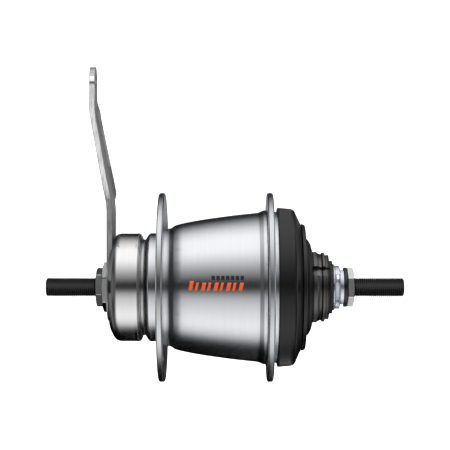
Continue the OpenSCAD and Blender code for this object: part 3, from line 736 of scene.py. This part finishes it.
def arm_section(z, inner_x, half_width):
    """Rounded rectangle of (x, y) points, with its rear edge turned towards the wheel."""
    soft = min(ARM_EDGE_SOFT, 0.45 * half_width)
    x1 = inner_x + arm_offset(z)
    x0 = x1 - ARM_THICK
    points = []
    for cx, cy, start in ((x0 + soft, -half_width + soft, 180), (x1 - soft, -half_width + soft, 270),
                          (x1 - soft, half_width - soft, 0), (x0 + soft, half_width - soft, 90)):
        for k in range(4):
            a = math.radians(start + 30 * k)
            points.append([cx + soft * math.cos(a), cy + soft * math.sin(a)])
    # more points between the two corners of the face towards the wheel, for the lip to bend
    flank_steps = 10
    (front_x, front_y), (rear_x, rear_y) = points[7], points[8]
    shares = [k / flank_steps for k in range(1, flank_steps)]
    flank = [[front_x + (rear_x - front_x) * t, front_y + (rear_y - front_y) * t] for t in shares]
    points = points[:8] + flank + points[8:]
    lip_from, lip_width = half_width - 3.6 * MM, 3.2 * MM
    for p in points:
        p[0] += arm_lip(z) * eased(clamped((p[1] - lip_from) / lip_width))
    return points


def make_arm():
    """Pressed plate: eye, waist, blade with a turned-in rear edge, two bends and a round tip."""
    low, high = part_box("brake_arm")
    eye_r, top = -low.z, high.z
    inner_x = low.x + ARM_LEAN + ARM_THICK
    end_gap, widest_step, closest_step, step_share = 0.02 * MM, 1.2 * MM, 0.06 * MM, 0.28

    def build(made):
        heights = []
        z = end_gap - eye_r
        while z < top - end_gap:
            heights.append(z)
            from_end = min(z + eye_r, top - z)
            z += min(widest_step, max(closest_step, from_end * step_share))
        heights.append(top - end_gap)
        rings = []
        for z in heights:
            section = arm_section(z, inner_x, arm_half_width(z, eye_r, top))
            rings.append([made.verts.new((x, y, z)) for x, y in section])
        for first, second in zip(rings, rings[1:]):
            bridge(made, first, second)
        made.faces.new(rings[0][::-1])
        made.faces.new(rings[-1])
    arm = piece_from("pressed_arm", build)
    tip_x = inner_x - ARM_LEAN
    eye = pin("eye_cutter", inner_x - 6 * MM, inner_x + 3 * MM, 0, 0, ARM_EYE_HOLE_R, 64)
    clip = pin("clip_cutter", tip_x - ARM_THICK, tip_x, top - ARM_TIP_R, 0, ARM_CLIP_R, 48, mouth=0.25 * MM)
    cut(arm, [eye, clip])
    shade_smooth(arm)
    keep_sharp(arm, 42)
    stand_for(arm, "axle_group", "plated_steel", "brake_arm", "arm_steel")


def make_brake_cap():
    """The domed cap, with the slot in its face that the brake arm lies in."""
    cap = revolve("domed_cap", rounded(outline_of("brake_cap"), 0.5 * MM))
    left = ends("brake_cap")[0]
    half, bottom, top = 14.3 * MM, 0.5 * MM, 40 * MM
    slot = [(bottom, -half), (bottom, half), (top, half), (top, -half)]
    cut(cap, [bar("slot_cutter", slot, left - 3 * MM, left + 2.4 * MM)])
    keep_sharp(cap, 40)
    stand_for(cap, "axle_group", "bright_cap", "brake_cap")


# ---------------------------------------------------------------- shell

def make_flange(name, x, bore_r, first):
    """A disc with a rounded rim; its ring of spoke holes comes from the record's mount.

    Its middle x and its bore are in millimetres, and its first hole is at a clock angle in degrees.
    """
    half, rim_r, rim_soft = 1.6, 48.5, 0.6
    left, right = x - half, x + half
    outline = [(bore_r, left), (rim_r - rim_soft, left), (rim_r, left + rim_soft),
               (rim_r, right - rim_soft), (rim_r - rim_soft, right), (bore_r, right)]
    flange = revolve(name + "_disc", rounded([(a * MM, r * MM) for r, a in outline], 0.5 * MM))
    side = name.split("_")[0]
    holes = next(m for m in frame["record"]["mounts"] if m["name"] == side + "_spoke_holes")["dims"]
    cutters = []
    for k in range(holes["count"]):
        up, across = at_clock(holes["pcd_mm"] / 2 * MM, first + 360 * k / holes["count"])
        cutters.append(pin("spoke_cutter", left * MM, right * MM, up, across, holes["hole_r_mm"] * MM, 24,
                           mouth=0.35 * MM))
    cut(flange, cutters)
    keep_sharp(flange, 30)
    stand_for(flange, "shell_group", "flange_steel", name)


def make_turned(name, body, slot, radius, segments=ROUND_SEGMENTS, look=None):
    """A piece that is only turned, with its corners rounded to a radius in millimetres."""
    made = revolve(name + "_turned", rounded(outline_of(name), radius * MM), segments)
    stand_for(made, body, slot, name, look)


def barrel_radius(x):
    """Radius of the shell's barrel at x, in metres."""
    for (r0, x0), (r1, x1) in zip(BARREL, BARREL[1:]):
        if x0 * MM <= x <= x1 * MM:
            return (r0 + (r1 - r0) * (x / MM - x0) / (x1 - x0)) * MM
    return BARREL[-1][0] * MM


def print_patch(name, corners, look):
    """A thin print wrapped on the shell's front; corners are (x, height) in metres, from the lower left."""
    lift, columns, rows = 0.06 * MM, 10, 6
    (ax, az), (bx, bz), (cx, cz), (dx, dz) = corners

    def sheet(made, raise_by):
        grid = []
        for i in range(columns + 1):
            s = i / columns
            grid.append([])
            for j in range(rows + 1):
                t = j / rows
                x = (ax + (bx - ax) * s) * (1 - t) + (dx + (cx - dx) * s) * t
                z = (az + (bz - az) * s) * (1 - t) + (dz + (cz - dz) * s) * t
                r = barrel_radius(x) + raise_by
                grid[i].append(made.verts.new((x, -math.sqrt(r * r - z * z), z)))
        return grid

    def build(made):
        top, under = sheet(made, lift), sheet(made, -lift)
        for i in range(columns):
            for j in range(rows):
                made.faces.new((top[i][j], top[i + 1][j], top[i + 1][j + 1], top[i][j + 1]))
                made.faces.new((under[i][j], under[i][j + 1], under[i + 1][j + 1], under[i + 1][j]))
        rim = [(i, 0) for i in range(columns)] + [(columns, j) for j in range(rows)]
        rim += [(i, rows) for i in range(columns, 0, -1)] + [(0, j) for j in range(rows, 0, -1)]
        for (i, j), (k, l) in zip(rim, rim[1:] + rim[:1]):
            made.faces.new((top[i][j], under[i][j], under[k][l], top[k][l]))
    made = piece_from(name, build)
    stand_for(made, "shell_group", "shell_steel", look=look)


def make_badge():
    """A generic printed badge: leaning orange bars under a row of black dashes."""
    bars_from, bar_step, lean = -18.2 * MM, 3.08 * MM, 1.0 * MM
    foot, first_top, other_tops = -0.6 * MM, 4.5 * MM, 3.7 * MM
    for k in range(9):
        left = bars_from + bar_step * k
        right = left + (1.9 if k % 2 == 0 else 1.3) * MM
        top = first_top if k == 0 else other_tops
        corners = [(left, foot), (right, foot), (right + lean, top), (left + lean, top)]
        print_patch(f"orange_bar_{k + 1}", corners, "orange_print")
    dashes_from, dash_step, dash_length = -6.6 * MM, 2.37 * MM, 1.65 * MM
    foot, top = 4.9 * MM, 7.1 * MM
    for k in range(7):
        left = dashes_from + dash_step * k
        right = left + dash_length
        corners = [(left, foot), (right, foot), (right, top), (left, top)]
        print_patch(f"black_dash_{k + 1}", corners, "black_print")


# ---------------------------------------------------------------- drive side

def make_driver():
    """The driver, with three L-shaped notches in its open end for the sprocket's lugs."""
    driver = revolve("sprocket_driver", rounded(outline_of("driver"), 0.2 * MM))
    half, deep, shallow, outside = 2.6 * MM, 15.3 * MM, 16.4 * MM, 24 * MM
    notch = [(deep, -half), (deep, 0), (shallow, 0), (shallow, half), (outside, half), (outside, -half)]
    notch_from = ends("driver_dust_cap")[1] + 0.1 * MM
    notch_to = ends("driver")[1] + 2 * MM
    cut(driver, [bar("notch_cutter", turned(notch, clock), notch_from, notch_to)
                 for clock in (60, 180, 300)])
    keep_sharp(driver, 40)
    stand_for(driver, "driver_group", "dark_steel", "driver")


def make_seal():
    """The rubber ring with its crown of teeth."""
    left, right = ends("right_cone_seal")
    seal = revolve("toothed_seal", rounded(outline_of("right_cone_seal"), 0.15 * MM), SMALL_SEGMENTS)
    teeth, half_gap, inside, outside = 24, 0.5 * MM, 12.9 * MM, 15 * MM
    gap = [(inside, -half_gap), (inside, half_gap), (outside, half_gap), (outside, -half_gap)]
    cut(seal, [bar("tooth_cutter", turned(gap, 360 / teeth * k), left + 0.9 * MM, right + MM)
               for k in range(teeth)])
    keep_sharp(seal, 40)
    stand_for(seal, "axle_group", "seal_rubber", "right_cone_seal")


def make_cone():
    """The bright cone: two windows that the shift sleeve's lugs travel in, and two wrench flats."""
    cone = revolve("bright_cone", rounded(outline_of("right_cone"), 0.2 * MM), SMALL_SEGMENTS)
    lug_travel, lug_room, steps = 80, 9, 20
    cutters = []
    for start in (60, 240):
        sweep = [start - lug_room + (lug_travel + 2 * lug_room) * k / steps for k in range(steps + 1)]
        inner = [at_clock(7 * MM, a) for a in sweep]
        outer = [at_clock(13 * MM, a) for a in sweep]
        cutters.append(bar("window_cutter", inner + outer[::-1], 56.4 * MM, 58.4 * MM))
    flat_at, outside, half = 8.6 * MM, 14 * MM, 15 * MM
    flat = [(flat_at, -half), (flat_at, half), (outside, half), (outside, -half)]
    flats_to = ends("right_cone")[1] + MM
    cutters += [bar("flat_cutter", turned(flat, clock), 58.9 * MM, flats_to) for clock in (0, 180)]
    cut(cone, cutters)
    keep_sharp(cone, 40)
    stand_for(cone, "axle_group", "plated_steel", "right_cone", "bright_zinc")


# ---------------------------------------------------------------- stage, light and camera

AXLE_TO_CAMERA = 780 * MM
VIEW_HEIGHT = 32 * MM            # the camera looks level, this far above the axle
VIEW_WIDTH = 231.6 * MM          # what it sees at the axle's distance


def make_camera():
    """Level, straight in front of the hub."""
    data = bpy.data.cameras.new("camera")
    data.sensor_width = 36
    data.lens = data.sensor_width * AXLE_TO_CAMERA / VIEW_WIDTH
    camera = bpy.data.objects.new("camera", data)
    camera.location = (0, -AXLE_TO_CAMERA, VIEW_HEIGHT)
    camera.rotation_euler = (math.pi / 2, 0, 0)
    bpy.context.scene.collection.objects.link(camera)
    bpy.context.scene.camera = camera


def make_stage():
    """A white floor that sweeps up into a white dome. Only the camera sees it, so the metal stays crisp."""
    floor_z, floor_r, sweep_r, sides = -0.30, 1.7, 0.5, 64
    dome_z, dome_r = floor_z + sweep_r, floor_r + sweep_r
    quarter = math.pi / 2
    outline = [(floor_z, 0.0), (floor_z, floor_r)]
    outline += [(floor_z + sweep_r * (1 - math.cos(a)), floor_r + sweep_r * math.sin(a))
                for a in (quarter * k / 8 for k in range(1, 9))]
    outline += [(dome_z + dome_r * math.sin(a), dome_r * math.cos(a))
                for a in (quarter * k / 12 for k in range(1, 12))]
    outline.append((dome_z + dome_r, 0.0))

    def build(made):
        turns = [TAU * k / sides for k in range(sides)]
        rings = [[made.verts.new((r * math.cos(t), r * math.sin(t), z)) for t in turns] for z, r in outline]
        for first, second in zip(rings, rings[1:]):
            bridge(made, first, second)
    dome = piece_from("floor", build)
    shader = Shader("stage_white")
    shader.set("Base Color", grey(1.0))
    shader.set("Emission Color", grey(1.0))
    shader.set("Emission Strength", 1.0)
    dress(dome, "stage_white")
    for ray in ("visible_glossy", "visible_diffuse", "visible_transmission", "visible_shadow"):
        setattr(dome, ray, False)


# Brightness of the studio at each angle in degrees: over the top from the front (0) to the back (180),
# and underneath below 0
STUDIO = [
    (-180, 0.01), (-172, 0.002), (-150, 0.001), (-130, 0.001), (-118, 0.001), (-106, 0.012), (-95, 0.15),
    (-84, 0.54), (-66, 0.95), (-45, 0.80), (-24, 0.60), (-12, 0.39), (-5, 0.11), (1, 0.02), (8, 0.015),
    (14, 0.07), (22, 0.21), (35, 0.42), (50, 0.76), (66, 1.04), (88, 1.03), (104, 0.80), (118, 0.46),
    (131, 0.19), (144, 0.01), (160, 0.008), (170, 0.08), (180, 0.34)]
# The same for what the round faces of the driver and the cone reflect
DRIVE_STUDIO = [
    (-180, 0.02), (-155, 0.1), (-136, 0.8), (-60, 0.95), (-28, 0.65), (-10, 0.22), (4, 0.15), (18, 0.40),
    (40, 0.85), (60, 0.95), (128, 0.95), (150, 0.3), (180, 0.25)]
STUDIO_POWER = 1.25


def studio_strips(nodes, share, levels):
    """A smooth run of grey levels, where share goes from 0 at -180 degrees to 1 at 180."""
    made = nodes.node("ShaderNodeValToRGB", [(0, share)])
    made.color_ramp.interpolation = "B_SPLINE"
    stops = made.color_ramp.elements
    for degrees, _ in levels[1:-1]:
        stops.new((degrees + 180) / 360)
    for stop, (_, level) in zip(stops, levels):
        stop.color = (level, level, level * 1.01, 1)
    return made.outputs[0]


def make_studio():
    """Long soft strips of light along the axle, as one smooth surround, with plain walls at both ends."""
    world = bpy.data.worlds.new("studio")
    world.use_nodes = True
    bpy.context.scene.world = world
    nodes = Nodes(world.node_tree)

    def ramp(value, low, high, to_low, to_high):
        return nodes.spread(value, low, high, to_low, to_high, "SMOOTHSTEP")

    x, y, z = nodes.parts(nodes.node("ShaderNodeTexCoord").outputs["Generated"])
    angle = nodes.math("ARCTAN2", z, nodes.math("MULTIPLY", y, -1.0))
    share = nodes.spread(angle, -math.pi, math.pi, 0.0, 1.0)
    # 1 in the narrow wedge that those round faces reflect
    drive = nodes.math("MULTIPLY", ramp(x, 0.066, 0.082, 0.0, 1.0), ramp(x, 0.118, 0.136, 1.0, 0.0))
    strips = nodes.blend(drive, studio_strips(nodes, share, STUDIO),
                         studio_strips(nodes, share, DRIVE_STUDIO))
    sideways = nodes.math("ABSOLUTE", x)
    wall_share = ramp(sideways, 0.50, 0.84, 0.0, 1.0)
    # the walls are brighter towards the back, and brightest straight along the axle
    wall = nodes.math("ADD", ramp(y, 0.16, 0.60, 0.13, 0.55), ramp(sideways, 0.94, 0.99, 0.0, 0.30))
    level = nodes.math("MULTIPLY", wall, wall_share)
    kept = nodes.math("SUBTRACT", 1.0, wall_share)
    seen = nodes.node("ShaderNodeVectorMath", [(0, strips), ("Scale", kept)], operation="SCALE").outputs[0]
    total = nodes.node("ShaderNodeVectorMath", [(0, seen), (1, nodes.vector(level, level, level))],
                       operation="ADD").outputs[0]
    background = nodes.tree.nodes["Background"]
    nodes.fill(background.inputs["Color"], total)
    nodes.fill(background.inputs["Strength"], STUDIO_POWER)


def make_lamp(name, where, size, power):
    """A soft box that looks at the hub's middle, and that shiny faces don't show."""
    data = bpy.data.lights.new(name, "AREA")
    data.shape = "RECTANGLE"
    data.size, data.size_y = size
    data.energy = power
    lamp = bpy.data.objects.new(name, data)
    lamp.location = where
    lamp.rotation_euler = (-Vector(where)).to_track_quat("-Z", "Y").to_euler()
    lamp.visible_glossy = False
    bpy.context.scene.collection.objects.link(lamp)


# ---------------------------------------------------------------- everything in order

make_camera()
make_stage()
make_studio()
make_lamp("key_softbox", (0.15, -1.2, 1.3), (1.4, 0.8), 24)

bpy.context.scene.view_settings.view_transform = "Standard"

slot_of = {s["node"]: s["material_slot"] for s in frame["record"]["subparts"]}
for node_name, node in frame["nodes"].items():
    dress(node, slot_of[node_name])
dress(frame["nodes"]["shift_sleeve"], "sleeve_zinc")

make_axle()
make_nut("left_locknut", "plated_steel")
make_nut("arm_nut", "plated_steel")
make_nut("right_locknut", "bright_nut", inner_cone=0.06)
make_arm()
make_brake_cap()
make_turned("hub_shell", "shell_group", "shell_steel", 0.5)
make_flange("left_flange", -32.2, 30.2, 0)
make_flange("right_flange", 23, 38.8, 10)
make_turned("left_dust_ring", "shell_group", "plated_steel", 0.2)
make_turned("outer_dust_cap", "shell_group", "black_cap", 0.5)
make_turned("driver_dust_cap", "driver_group", "black_cap", 0.3)
make_driver()
make_seal()
make_cone()
make_turned("right_washer", "axle_group", "dark_steel", 0.2, SMALL_SEGMENTS, "washer_black")
make_badge()

bpy.context.view_layer.update()
